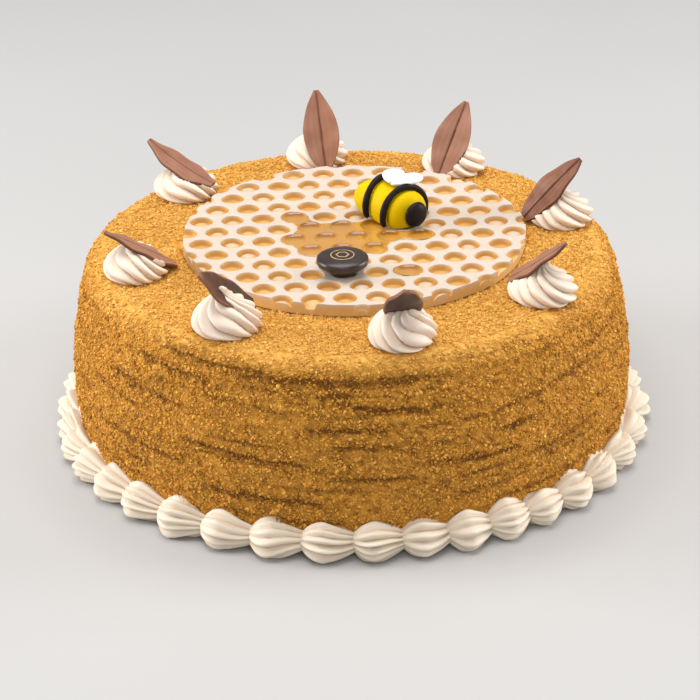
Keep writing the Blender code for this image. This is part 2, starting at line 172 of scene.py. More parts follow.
# Strokes on the side: from and to (degrees round, mm up), how wide in mm and how strong: how deep the
# groove is and how dark its painted shade
STROKES = (
    (-119, 71.6, -70, 71.4, 2.0, 0.65), (-145, 68.5, -116, 66.0, 1.2, 0.5),
    (-135, 74.4, -105, 73.0, 0.9, 0.9), (-127, 41.5, -98, 37.6, 1.1, 0.8),
    (-123, 23.2, -93, 22.4, 1.2, 0.8), (-94, 63.6, -73, 58.0, 1.3, 0.8),
    (-71, 36.1, -54, 36.0, 0.9, 0.9), (-61, 45.2, -52, 45.0, 0.8, 0.7),
    (-74, 45.3, -65, 45.6, 0.8, 0.6), (-101, 52.4, -80, 52.7, 1.2, 0.6),
    (-95, 46.2, -80, 45.7, 1.0, 0.6), (-95, 33.5, -76, 32.0, 1.1, 0.6),
    (-150, 57.0, -128, 54.5, 1.0, 0.5), (-146, 33.0, -127, 31.0, 1.0, 0.45),
    (-48, 56.0, -30, 57.5, 1.0, 0.5), (-50, 27.0, -33, 28.0, 1.0, 0.45),
    (-112, 60.0, -97, 58.6, 0.9, 0.45), (-66, 27.0, -52, 26.0, 0.9, 0.4),
)


def cake_radius(height):
    """Outer radius at a height, widest a little below the middle, for an array of heights."""
    share = height / CAKE_HEIGHT
    below = FOOT_DRAWN_IN * np.clip((WIDEST_AT - share) / WIDEST_AT, 0.0, 1.0) ** 2
    above = TOP_DRAWN_IN * np.clip((share - WIDEST_AT) / (1.0 - WIDEST_AT), 0.0, 1.0) ** 1.6
    into_edge = np.clip((height - (CAKE_HEIGHT - EDGE_ROUND)) / EDGE_ROUND, 0.0, 1.0)
    return CAKE_RADIUS - below - above - EDGE_ROUND * (1.0 - np.sqrt(1.0 - into_edge ** 2))


def mottle(points, size, seed):
    """Smooth uneven values from -1 to 1 at points, in lumps of about this size."""
    spread = points / size + 31.7 * seed + 500.0
    cell = np.floor(spread).astype(np.int64)
    part = spread - cell
    part = part * part * (3.0 - 2.0 * part)
    total = np.zeros(len(points))
    # Each corner of the cell has its own value, mixed from its three numbers and the seed
    for corner in range(8):
        step = np.array([corner & 1, corner >> 1 & 1, corner >> 2 & 1])
        x, y, z = (cell + step).T
        mix = (x * 73856093) ^ (y * 19349663) ^ (z * 83492791) ^ (seed * 2654435)
        mix = ((mix ^ (mix >> 13)) * 1274126177) & 0xFFFFFFFF
        value = ((mix >> 9) & 0xFFFF) / 32767.5 - 1.0
        total += value * np.prod(np.where(step, part, 1.0 - part), axis=1)
    return total


def stroke_at(points):
    """How strongly the side is stroked at points, 0 to about 1: the depth of its groove and the painted
    shade in it.
    """
    around = np.degrees(np.arctan2(points[:, 1], points[:, 0]))
    up = points[:, 2] / MM
    # The strokes fade out over 3 mm below the top
    on_side = np.clip((78.0 - up) / 3.0, 0.0, 1.0)
    groove_and_shade = np.zeros(len(points))
    wander = mottle(points * np.array([1, 1, 0.2]), 6 * MM, 5)
    for start, low, end, high, wide, strength in STROKES:
        share = (around - start) / (end - start)
        middle = low + (high - low) * share + 0.9 * wander
        fade = np.clip(share * 6.0, 0.0, 1.0) * np.clip((1.0 - share) * 6.0, 0.0, 1.0)
        groove_and_shade = np.maximum(groove_and_shade, strength * fade * np.exp(-((up - middle) / wide) ** 2))
    # Fainter level strokes all round, one at each joint of the layers
    joint = up / LAYER_RISE + 0.25 * np.sin(np.radians(around) * 3.0) + 0.10 * wander
    near = np.exp(-((joint - np.round(joint)) * LAYER_RISE / JOINT_WIDE) ** 2)
    broken = np.clip(mottle(points * np.array([1, 1, 3.0]), 17 * MM, 9) * 1.6 + 0.15, 0.0, 1.0)
    groove_and_shade = np.maximum(groove_and_shade, 0.55 * near * broken)
    return groove_and_shade * on_side


def crumb_skin(points, outward):
    """Moves points of the plain cake to its uneven crumbed skin; returns them and the strokes."""
    groove_and_shade = stroke_at(points)
    rise = (0.35 * mottle(points, 9 * MM, 1) + 0.32 * mottle(points, 3.2 * MM, 2)
            + 0.34 * mottle(points, 1.5 * MM, 3)) * MM
    below_edge = np.clip((0.076 - points[:, 2]) / 0.004, 0, 1)
    level = mottle(points * np.array([1, 1, 6.0]), 14 * MM, 4) * 0.35 * MM * below_edge
    return points + outward * (rise + level - 0.35 * MM - 1.0 * MM * groove_and_shade)[:, None], groove_and_shade


def turn_profile(name, profile, steps):
    """Draws a profile of (radius, height) point by point and spins it round the upright axis."""
    put_down()
    bpy.ops.mesh.primitive_plane_add(size=0.001)
    piece = bpy.context.object
    piece.name = piece.data.name = name
    bpy.ops.object.mode_set(mode="EDIT")
    bpy.ops.mesh.select_mode(type="VERT")
    bpy.ops.mesh.select_all(action="SELECT")
    bpy.ops.mesh.merge(type="CENTER")
    bpy.ops.transform.translate(value=(profile[0][0], 0, profile[0][1]))
    for (radius, height), (next_radius, next_height) in zip(profile, profile[1:]):
        bpy.ops.mesh.extrude_vertices_move(
            TRANSFORM_OT_translate={"value": (next_radius - radius, 0, next_height - height)})
    bpy.ops.mesh.select_all(action="SELECT")
    bpy.ops.mesh.spin(steps=steps, angle=math.tau, center=(0, 0, 0), axis=(0, 0, 1))
    bpy.ops.mesh.select_all(action="SELECT")
    bpy.ops.mesh.remove_doubles(threshold=1e-6)
    bpy.ops.mesh.normals_make_consistent(inside=False)
    bpy.ops.object.mode_set(mode="OBJECT")
    return piece


def points_of(piece):
    """The piece's vertices as an array."""
    where = np.empty(len(piece.data.vertices) * 3, dtype=np.float32)
    piece.data.vertices.foreach_get("co", where)
    return where.reshape(-1, 3).astype(float)


def set_points(piece, where):
    """Moves the piece's vertices to these points."""
    piece.data.vertices.foreach_set("co", np.asarray(where, dtype=np.float32).ravel())
    piece.data.update()


def set_values(piece, name, values):
    """A value for each vertex, for the material to read."""
    attribute = piece.data.attributes.new(name, "FLOAT", "POINT")
    attribute.data.foreach_set("value", np.asarray(values, dtype=np.float32))


side_heights = np.linspace(0.0, CAKE_HEIGHT - EDGE_ROUND, 56)
edge_heights = CAKE_HEIGHT - EDGE_ROUND + EDGE_ROUND * np.sin(np.radians(np.linspace(0, 90, 11)[1:]))
top_radius = float(cake_radius(np.array([CAKE_HEIGHT]))[0])
profile = [(0.0, 0.0), (HIDDEN_RADIUS, 0.0)]
for height in np.concatenate([side_heights, edge_heights]):
    profile.append((float(cake_radius(np.array([height]))[0]), float(height)))
profile += [(float(r), CAKE_HEIGHT) for r in np.linspace(top_radius, HIDDEN_RADIUS, 34)[1:]]
profile += [(HIDDEN_RADIUS / 2, CAKE_HEIGHT), (0.0, CAKE_HEIGHT)]
cake = turn_profile("cake_crumbed", profile, 440)


def outward_at(points):
    """The direction straight out of the plain cake at its own points."""
    flat = np.hypot(points[:, 0], points[:, 1]) + 1e-9
    into_edge = np.clip((points[:, 2] - (CAKE_HEIGHT - EDGE_ROUND)) / EDGE_ROUND, 0.0, 1.0)
    into_edge = np.where(flat < top_radius - 1e-5, 1.0, into_edge)
    side = np.sqrt(1.0 - into_edge ** 2)
    return np.column_stack([points[:, 0] / flat * side, points[:, 1] / flat * side, into_edge])


plain = points_of(cake)
skin, groove_and_shade = crumb_skin(plain, outward_at(plain))
foot = plain[:, 2] < 0.5 * MM
skin[foot] = plain[foot]
set_points(cake, skin)
# The strokes' grooves are darkened as painted shade
tone = 0.30 + 0.36 * mottle(plain, 1.2 * MM, 6) + 0.10 * mottle(plain, 11 * MM, 7) - 0.5 * groove_and_shade
set_values(cake, "tone", tone)
# How far each point faces sideways, which sets the side's painted shade in the crumb colour
set_values(cake, "side", 1.0 - outward_at(plain)[:, 2])
cake.data.shade_smooth()
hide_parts("cake_body")
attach(cake, "root")


def add_value(tree, name):
    """The piece's own value of this name."""
    return add_node(tree, "ShaderNodeAttribute", attribute_name=name).outputs["Fac"]


def add_scaled(tree, source, factor, plus):
    """The source times a factor, plus a number or another value."""
    node = add_node(tree, "ShaderNodeMath", operation="MULTIPLY_ADD", links=[(0, source)])
    node.inputs[1].default_value = factor
    if isinstance(plus, float):
        node.inputs[2].default_value = plus
    else:
        tree.links.new(plus, node.inputs[2])
    return node.outputs[0]


def add_bump(tree, shader, source, strength, distance):
    """Raises the surface a little where the source is high."""
    bump = add_node(tree, "ShaderNodeBump", strength=strength, distance=distance,
                    links=[("Height", source)])
    tree.links.new(bump.outputs["Normal"], shader.inputs["Normal"])


def crumb_material(name):
    """Golden baked crumb; each grain's own tone runs from dark caramel to pale honey, and the side is
    painted darker and deeper as painted shade.
    """
    material, tree, shader = new_material(name)
    fine = add_noise(tree, 1500.0, 3.0)
    level = add_scaled(tree, add_scaled(tree, fine, 0.46, add_value(tree, "tone")), 1.0, -0.23)
    top = add_ramp(tree, level, [
        (0.0, (0.40, 0.185, 0.026)), (0.35, (0.61, 0.305, 0.054)), (0.6, (0.76, 0.435, 0.10)),
        (1.0, (0.87, 0.60, 0.21))])
    # The side's ramp is darker and deeper than the top's: painted shade for the side, which the top lamp
    # hardly reaches
    low = add_ramp(tree, level, [
        (0.0, (0.18, 0.066, 0.008)), (0.35, (0.54, 0.245, 0.030)), (0.6, (0.76, 0.38, 0.058)),
        (1.0, (0.93, 0.60, 0.16))])
    both = add_node(tree, "ShaderNodeMix", data_type="RGBA", links=[("Factor", add_value(tree, "side"))])
    tree.links.new(top, both.inputs[6])
    tree.links.new(low, both.inputs[7])
    tree.links.new(both.outputs[2], shader.inputs["Base Color"])
    shader.inputs["Roughness"].default_value = 0.85
    shader.inputs["Specular IOR Level"].default_value = 0.25
    add_bump(tree, shader, fine, 0.6, 0.0004)
    return material


cake.data.materials.append(crumb_material("crumb_coat"))

# The crumbs
# Baked trimmings rubbed to crumbs and patted on by hand: fine dust, grains of 1 to 2 mm and a
# few coarse bits. Each kind is one piece whose grains are pressed a little way into the coat.
dice = np.random.default_rng(7)
PLAQUE_MIDDLE = np.array([1.9, 3.2]) * MM
# Where the rosettes stand: degrees round and mm out
ROSETTE_SPOTS = ((140.0, 90.4), (98.3, 92.5), (60.0, 92.0), (14.3, 91.2),
                 (-34.4, 92.0), (-77.6, 90.5), (-122.4, 89.5), (-165.2, 88.8))
# No crumbs lie under the plaque and the rosettes, this far from their middles
PLAQUE_CLEAR, ROSETTE_CLEAR = 69 * MM, 11 * MM
CRUMBS_FROM = 8 * MM
SIDE_SHARE = 0.66


def strewn_places(count):
    """Places spread evenly over the side and top of the cake where crumbs can be seen."""
    on_side = dice.random(count) < SIDE_SHARE
    turn = dice.uniform(-math.pi, math.pi, count)
    height = np.where(on_side, dice.uniform(CRUMBS_FROM, CAKE_HEIGHT, count), CAKE_HEIGHT)
    on_top = np.sqrt(dice.uniform(HIDDEN_RADIUS ** 2, top_radius ** 2, count))
    radius = np.where(on_side, cake_radius(height), on_top)
    where = np.column_stack([radius * np.cos(turn), radius * np.sin(turn), height])
    clear = np.hypot(where[:, 0] - PLAQUE_MIDDLE[0], where[:, 1] - PLAQUE_MIDDLE[1]) > PLAQUE_CLEAR
    for around, distance in ROSETTE_SPOTS:
        spot = np.array([math.cos(math.radians(around)), math.sin(math.radians(around))]) * distance * MM
        clear &= (np.hypot(where[:, 0] - spot[0], where[:, 1] - spot[1]) > ROSETTE_CLEAR) | on_side
    return where[clear | on_side]


def new_piece(name, points, faces):
    """A piece made of these points and faces."""
    mesh = bpy.data.meshes.new(name)
    mesh.from_pydata(points, [], faces)
    piece = bpy.data.objects.new(name, mesh)
    scene.collection.objects.link(piece)
    return piece


def take_up(piece):
    """Selects one piece alone, for the next step to act on."""
    put_down()
    piece.select_set(True)
    bpy.context.view_layer.objects.active = piece


def face_outward(piece):
    """Turns every face of the piece outward."""
    take_up(piece)
    bpy.ops.object.mode_set(mode="EDIT")
    bpy.ops.mesh.select_all(action="SELECT")
    bpy.ops.mesh.normals_make_consistent(inside=False)
    bpy.ops.object.mode_set(mode="OBJECT")


def strew(name, grain_kind, count, least, most, tone, uneven):
    """One kind of crumb: a small rough grain, modelled once and copied to each place."""
    put_down()
    if grain_kind == "chip":
        bpy.ops.mesh.primitive_cone_add(vertices=4, radius1=1.0, radius2=0.0, depth=1.2)
    elif grain_kind == "block":
        bpy.ops.mesh.primitive_cube_add(size=1.5)
    else:
        bpy.ops.mesh.primitive_ico_sphere_add(subdivisions=1, radius=1.0)
    grain = bpy.context.object
    bpy.ops.object.mode_set(mode="EDIT")
    bpy.ops.mesh.select_all(action="SELECT")
    bpy.ops.mesh.quads_convert_to_tris()
    bpy.ops.object.mode_set(mode="OBJECT")
    shape = points_of(grain)
    faces = np.array([list(f.vertices) for f in grain.data.polygons])
    bpy.data.objects.remove(grain)

    places = strewn_places(count)
    outward = outward_at(places)
    skin, groove_and_shade = crumb_skin(places, outward)
    many = len(places)
    size = dice.uniform(least, most, many) * 0.5 * MM
    skin = skin + outward * (0.15 * size)[:, None]
    # Each grain is turned its own way and has its own proportions
    q = dice.normal(size=(many, 4))
    q /= np.linalg.norm(q, axis=1)[:, None]
    w, x, y, z = q.T
    turn = np.stack([np.stack([1 - 2 * (y * y + z * z), 2 * (x * y - z * w), 2 * (x * z + y * w)], 1),
                     np.stack([2 * (x * y + z * w), 1 - 2 * (x * x + z * z), 2 * (y * z - x * w)], 1),
                     np.stack([2 * (x * z - y * w), 2 * (y * z + x * w), 1 - 2 * (x * x + y * y)], 1)], 1)
    stretch = dice.uniform(0.65, 1.25, (many, 1, 3))
    rough = 1.0 + dice.uniform(-0.22, 0.22, (many, len(shape), 1))
    local = shape[None] * stretch * rough
    where = np.einsum("nij,nkj->nki", turn, local) * size[:, None, None] + skin[:, None, :]
    all_faces = (faces[None] + (np.arange(many) * len(shape))[:, None, None]).reshape(-1, 3)
    piece = new_piece(name, where.reshape(-1, 3).tolist(), all_faces.tolist())
    face_outward(piece)
    # Grains in the strokes' grooves are darkened as painted shade
    own = dice.normal(tone, uneven, many) - 0.45 * groove_and_shade
    set_values(piece, "tone", np.repeat(np.clip(own, 0.02, 0.98), len(shape)))
    # Each grain's sideways facing, which sets the side's painted shade
    set_values(piece, "side", np.repeat(1.0 - outward[:, 2], len(shape)))
    piece.data.materials.append(crumb_material(name))
    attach(piece, "root")


# Each kind: its grain, how many, least and most size in mm, its tone and how far that varies
strew("crumbs_fine", "chip", 36000, 0.6, 1.05, 0.41, 0.17)
strew("crumbs_golden", "chip", 36000, 0.65, 1.15, 0.50, 0.16)
strew("crumbs_pale", "chip", 30000, 0.7, 1.25, 0.54, 0.15)
strew("crumbs_middle", "block", 15500, 0.9, 1.4, 0.45, 0.15)
strew("crumbs_coarse", "ball", 3800, 1.2, 1.8, 0.45, 0.11)

# The shell border
# Honey cream piped round the foot with a star nozzle, pressed and pulled thirty-eight times.
# Each shell swells at its head and is drawn to a tail that the next head covers.
SHELLS = 38
SHELL_RIDGES = 13
# The shells are counted from the middle of the front, so the first is half way round the back
FIRST_SHELL = -18
# Share of a shell's length where its head is fullest
FULLEST_AT = 0.42
# The middle of the ring of shells, and how far a shell's head reaches out and up from it
RING_RADIUS, RING_HEIGHT = 113.7 * MM, 6.1 * MM
SHELL_OUT, SHELL_UP = 11.1 * MM, 8.8 * MM
# Colour of the crests, the flanks and the furrows of piped cream; the furrows' dark is painted shade
CREAM_TINTS = ((0.0, (0.89, 0.79, 0.68)), (0.45, (0.86, 0.735, 0.60)), (1.0, (0.56, 0.37, 0.22)))


def cream_material(name, painted_shade):
    """Soft matt honey cream, each copy toned by its own painted shade; its furrows are painted darker as
    painted shade, and it lets some light through.
    """
    material, tree, shader = new_material(name)
    level = add_scaled(tree, add_noise(tree, 160.0, 3.0), 0.25, add_value(tree, "furrow_shade"))
    tint = add_ramp(tree, level, [(place, [c * s for c, s in zip(colour, painted_shade)])
                                  for place, colour in CREAM_TINTS])
    tree.links.new(tint, shader.inputs["Base Color"])
    shader.inputs["Roughness"].default_value = 0.5
    shader.inputs["Specular IOR Level"].default_value = 0.35
    shader.inputs["Subsurface Weight"].default_value = 0.12
    shader.inputs["Subsurface Radius"].default_value = (1.0, 0.6, 0.35)
    shader.inputs["Subsurface Scale"].default_value = 0.002
    add_bump(tree, shader, add_noise(tree, 900.0, 2.0), 0.25, 0.0002)
    return material


# The shells' copy of the cream, toned darker as painted shade for how they are lit
cream = cream_material("honey_cream", (0.87, 0.865, 0.83))


def shell_turn(number):
    """Where each shell's head starts round the cake, in degrees; the spacing is hand-made."""
    in_front = min(max((12.0 - abs(number)) / 5.0, 0.0), 1.0)
    astray = in_front * (-1.55 + 1.6 * math.cos(math.radians(30 * (number - 0.5))))
    return -90.6 + 360.0 / SHELLS * number + astray


# One shell, lying along X from its head at 0 to its tail at 1, in units of its own length
put_down()
bpy.ops.mesh.primitive_uv_sphere_add(segments=72, ring_count=26, radius=1.0)
shell = bpy.context.object
bpy.ops.transform.rotate(value=math.pi / 2, orient_axis="Y", center_override=(0, 0, 0))
bpy.ops.object.transform_apply(location=True, rotation=True, scale=True)
ball = points_of(shell)
shell_faces = [list(f.vertices) for f in shell.data.polygons]
bpy.data.objects.remove(shell)


def piped_shell(lean, seed):
    """Points of one shell: along, outward and up as shares, and how deep in a furrow each is, which sets
    its painted shade.
    """
    angle = np.arctan2(ball[:, 2], ball[:, 1]) + lean
    along = 0.5 + 0.5 * np.clip(ball[:, 0], -1, 1)
    place = np.arccos(np.clip(1 - 2 * along, -1, 1)) / math.pi
    head = np.clip(place / FULLEST_AT, 0, 1)
    taper = np.clip((place - FULLEST_AT) / (1 - FULLEST_AT), 0.0, 1.0)
    size = np.sin(head * math.pi / 2) ** 0.62 * (1.0 - 0.66 * taper ** 1.25)
    size *= np.sqrt(np.clip((1 - place) / 0.05, 0, 1))
    twist = (0.2 * math.sin(seed) + 0.25 * math.sin(2.3 * seed) * (place - 0.5)
             + 0.13 * np.sin(2 * angle + seed) + 0.05 * np.sin(7 * place + 2 * seed))
    ridge = (0.5 + 0.5 * np.cos(SHELL_RIDGES * (angle + twist))) ** 0.85
    strong = 1.0 + 0.40 * np.sin(3 * (angle + seed)) + 0.2 * np.sin(5 * angle + 2 * seed)
    deep = 0.23 * strong * np.clip(place / 0.25, 0.35, 1.0)
    reach = size * (1.0 - deep + 1.2 * deep * ridge)
    reach *= 1.0 + 0.02 * np.sin(5 * place + 2 * seed) + 0.015 * np.sin(3 * angle + seed)
    furrow_shade = 0.95 * (1.0 - ridge) ** 3 * (0.45 + 0.55 * place)
    return place, np.cos(angle - lean) * reach, np.sin(angle - lean) * reach, furrow_shade


corners, faces, furrow_shades = [], [], []
for number in range(FIRST_SHELL, FIRST_SHELL + SHELLS):
    start = shell_turn(number)
    last = number == FIRST_SHELL + SHELLS - 1
    end = shell_turn(FIRST_SHELL) + 360.0 if last else shell_turn(number + 1)
    place, out, up, furrow_shade = piped_shell(0.25 * math.sin(2.1 * number), 1.7 * number)
    big = 1.0 + 0.035 * math.sin(4.4 * number)
    turn = np.radians(start - 0.5 + (end - start + 2.2) * place)
    sink = 0.5 * MM * place
    radius = RING_RADIUS + SHELL_OUT * big * out - 1.2 * MM * place
    height = np.maximum(RING_HEIGHT + SHELL_UP * big * up - sink, 0.15 * MM)
    faces += [[i + len(ball) * len(corners) for i in f] for f in shell_faces]
    corners.append(np.column_stack([radius * np.cos(turn), radius * np.sin(turn), height]))
    furrow_shades.append(furrow_shade)
border = new_piece("shell_border_piped", np.concatenate(corners).tolist(), faces)
set_values(border, "furrow_shade", np.concatenate(furrow_shades))


def smooth_outward(piece):
    """Turns every face of the piece outward and shades it smooth."""
    face_outward(piece)
    bpy.ops.object.shade_smooth()


smooth_outward(border)
border.data.materials.append(cream)
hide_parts("shell_border")
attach(border, "root")

# The honeycomb plaque
# White chocolate cast in a honeycomb mould and cut round, so its rim runs through some pits.
# Every pit is the same round well with a domed floor; the web between them is lightest.
PLAQUE_RADIUS = 70.3 * MM
PLAQUE_THICK = 5.0 * MM
PLAQUE_TOP, PLAQUE_UNDERSIDE = 84.7 * MM, 79.7 * MM
# From pit to pit in a row, from row to row, how far a row is shifted on, how far all are turned
PITCH, ROW, SHIFT, TURN = 12.8 * MM, 11.35 * MM, 0.467, math.radians(3.3)
FIRST_CELL = Vector((-23.58, 63.42, 0.0)) * MM
# The six pits round each pit, as steps of rows and places
NEIGHBOURS = ((0, 1), (1, 0), (1, -1), (0, -1), (-1, 0), (-1, 1))
# Rings of one pit from the web to the middle of its floor: (radius, height from the web) in mm
PIT_RINGS = ((5.15, 0.0), (4.98, -0.06), (4.85, -0.25), (4.75, -0.7), (4.65, -1.6), (4.5, -2.5),
             (4.25, -2.8), (3.9, -2.5), (3.1, -1.75), (2.0, -1.3), (0.8, -1.15))
EDGE_STEPS = 6


def cell_middle(row, place):
    """Where the middle of a pit lies, from the first pit."""
    flat = Vector((place * PITCH + row * SHIFT * PITCH, -row * ROW, 0.0))
    return FIRST_CELL + Matrix.Rotation(TURN, 3, "Z") @ flat


def cell_border():
    """The six-sided patch of web round one pit, half way to each neighbour, as points round it."""
    steps = [cell_middle(*step) - cell_middle(0, 0) for step in NEIGHBOURS]
    steps.sort(key=lambda s: math.atan2(s.y, s.x))
    corners = []
    for a, b in zip(steps, steps[1:] + steps[:1]):
        cross = a.x * b.y - a.y * b.x
        corners.append(Vector(((a.length_squared * b.y - b.length_squared * a.y) / (2 * cross),
                               (b.length_squared * a.x - a.length_squared * b.x) / (2 * cross), 0)))
    points = []
    for a, b in zip(corners[-1:] + corners[:-1], corners):
        points += [a.lerp(b, i / EDGE_STEPS) for i in range(EDGE_STEPS)]
    return points


web_patch = cell_border()


def pit_patch(rings):
    """Points and faces of one pit with its patch of web, and each ring's number."""
    points = [list(p) for p in web_patch]
    ring_of = [0] * len(web_patch)
    half = [p.lerp(p.normalized() * 5.35 * MM, 0.5) for p in web_patch]
    points += [list(p) for p in half]
    ring_of += [0] * len(half)
    for number, (radius, height) in enumerate(rings, 1):
        for p in web_patch:
            out = p.normalized() * radius * MM
            points.append([out.x, out.y, height * MM])
            ring_of.append(number)
    points.append([0, 0, rings[-1][1] * MM])
    ring_of.append(len(rings))
    around = len(web_patch)
    patch = []
    for level in range(len(rings) + 1):
        a, b = level * around, (level + 1) * around
        for i in range(around):
            j = (i + 1) % around
            patch.append((a + i, a + j, b + j, b + i))
    last = (len(rings) + 1) * around
    patch += [(last + i, last + (i + 1) % around, last + around) for i in range(around)]
    return np.array(points), patch, np.array(ring_of)


def join_patches(name, cells, rings, spread=None):
    """Sets one pit patch at every cell and merges their shared edges into one sheet.

    With a spread in mm, the sheet's free edge is drawn in to that distance from its own pit."""
    base, patch, ring_of = pit_patch(rings)
    toward_next = [(cell_middle(*step) - cell_middle(0, 0)).normalized() for step in NEIGHBOURS]
    where, faces, depth, toward = [], [], [], []
    for row, place in cells:
        middle = cell_middle(row, place)
        own = base + np.array([middle.x, middle.y, 0.0])
        if spread:
            for i, p in enumerate(web_patch):
                # A point that faces another filled pit is on an inner edge and stays
                near = [step for step, way in zip(NEIGHBOURS, toward_next)
                        if way.dot(p.normalized()) > math.cos(math.radians(31.5))]
                if any((row + step[0], place + step[1]) in cells for step in near):
                    continue
                around = math.atan2(p.y, p.x)
                reach = spread + 0.35 * math.sin(2 * around + 2.3 * row)
                reach += 0.2 * math.sin(3 * around + 1.9 * place)
                out = p.normalized() * reach * MM
                own[i, :2] = (middle.x + out.x, middle.y + out.y)
                inner = p.normalized() * (0.5 * spread + 0.5 * rings[0][0]) * MM
                own[i + len(web_patch), :2] = (middle.x + inner.x, middle.y + inner.y)
        # Each pit's floor swells by its own amount
        full = 0.75 + 0.45 * math.sin(12.9898 * row + 78.233 * place)
        inside = ring_of > len(rings) - 3
        own[inside, 2] = rings[-4][1] * MM + (own[inside, 2] - rings[-4][1] * MM) * full
        faces += [[i + len(base) * len(where) for i in f] for f in patch]
        where.append(own)
        depth.append(-base[:, 2] / (3.2 * MM))
        # How far each point lies towards the back of its pit, which the honey uses for its painted shade
        toward.append(np.where(ring_of > 0, base[:, 1] / (4.9 * MM), 0.0))
    sheet = new_piece(name, np.concatenate(where).tolist(), faces)
    set_values(sheet, "depth", np.concatenate(depth))
    set_values(sheet, "toward", np.concatenate(toward))
    take_up(sheet)
    bpy.ops.object.mode_set(mode="EDIT")
    bpy.ops.mesh.select_all(action="SELECT")
    bpy.ops.mesh.remove_doubles(threshold=0.02 * MM)
    bpy.ops.object.mode_set(mode="OBJECT")
    return sheet


def close_below(sheet, drop):
    """Draws the sheet's free edge straight down and closes it with a flat underside."""
    take_up(sheet)
    bpy.ops.object.mode_set(mode="EDIT")
    bpy.ops.mesh.select_mode(type="EDGE")
    bpy.ops.mesh.select_all(action="DESELECT")
    bpy.ops.mesh.select_non_manifold(extend=False, use_wire=False, use_multi_face=False,
                                     use_non_contiguous=False, use_verts=False)
    bpy.ops.mesh.extrude_region_move(TRANSFORM_OT_translate={"value": (0, 0, -drop)})
    bpy.ops.mesh.edge_face_add()
    bpy.ops.mesh.select_all(action="SELECT")
    bpy.ops.mesh.normals_make_consistent(inside=False)
    bpy.ops.object.mode_set(mode="OBJECT")


# Every pit that the rim encloses or cuts through
plaque_cells = []
for row in range(-2, 14):
    for place in range(-16, 14):
        middle = cell_middle(row, place)
        if math.hypot(middle.x - PLAQUE_MIDDLE[0], middle.y - PLAQUE_MIDDLE[1]) < PLAQUE_RADIUS + 8.5 * MM:
            plaque_cells.append((row, place))
plaque = join_patches("plaque_web", plaque_cells, PIT_RINGS)
where = points_of(plaque)
flat = where * np.array([1, 1, 0])
where[:, 0] += 0.30 * MM * mottle(flat, 7 * MM, 11)
where[:, 1] += 0.26 * MM * mottle(flat, 7 * MM, 12)
uneven = 0.10 * mottle(flat, 12 * MM, 13) + 0.05 * mottle(flat, 3 * MM, 14)
where[:, 2] += PLAQUE_TOP - 0.05 * MM + uneven * MM
set_points(plaque, where)
close_below(plaque, 9 * MM)

# A round cutter, a little uneven as the rim was cut by hand
cutter_height = PLAQUE_THICK + 4 * MM
put_down()
bpy.ops.mesh.primitive_cylinder_add(
    vertices=300, radius=PLAQUE_RADIUS, depth=cutter_height,
    location=(PLAQUE_MIDDLE[0], PLAQUE_MIDDLE[1], PLAQUE_UNDERSIDE + cutter_height / 2))
bpy.ops.object.transform_apply(location=True)
cutter = bpy.context.object
rim = points_of(cutter)
turn = np.arctan2(rim[:, 1] - PLAQUE_MIDDLE[1], rim[:, 0] - PLAQUE_MIDDLE[0])
grow = 0.5 * MM * (np.sin(3 * turn + 0.6) + 0.7 * np.sin(8 * turn))
grow += 0.18 * MM * mottle(rim * np.array([1, 1, 0]), 3 * MM, 15)
rim[:, 0] += np.cos(turn) * grow
rim[:, 1] += np.sin(turn) * grow
set_points(cutter, rim)
take_up(plaque)
cut = plaque.modifiers.new("cut_round", "BOOLEAN")
cut.operation = "INTERSECT"
cut.solver = "EXACT"
cut.object = cutter
bpy.ops.object.modifier_apply(modifier="cut_round")
bpy.data.objects.remove(cutter)
plaque.data.shade_smooth()
bpy.ops.object.shade_smooth_by_angle(angle=math.radians(50))

# The crown of each pit's floor is as pale as the web; walls and gutter are golden
where = points_of(plaque)
place_step = cell_middle(0, 1) - cell_middle(0, 0)
row_step = cell_middle(1, 0) - cell_middle(0, 0)
from_cell = np.array([[place_step.x, row_step.x], [place_step.y, row_step.y]])
at = (where[:, :2] - np.array(cell_middle(0, 0))[:2]) @ np.linalg.inv(from_cell).T
nearest = np.full(len(where), 1.0)
for corner in ((0, 0), (0, 1), (1, 0), (1, 1)):
    gap = (at - np.floor(at) - np.array(corner)) @ from_cell.T
    nearest = np.minimum(nearest, np.hypot(gap[:, 0], gap[:, 1]))
tall = np.clip((where[:, 2] - PLAQUE_TOP + 2.0 * MM) / (0.7 * MM), 0, 1)
set_values(plaque, "pale", tall * np.clip((3.8 * MM - nearest) / (1.2 * MM), 0, 1))
white_chocolate, tree, shader = new_material("white_chocolate_cast")
paled = add_scaled(tree, add_value(tree, "pale"), -0.65, 1.0)
where_node = tree.nodes.new("ShaderNodeTexCoord")
split = add_node(tree, "ShaderNodeSeparateXYZ", links=[("Vector", where_node.outputs["Object"])])
deep = add_node(tree, "ShaderNodeMapRange", from_min=84.55 * MM, from_max=82.6 * MM,
                links=[("Value", split.outputs["Z"])])
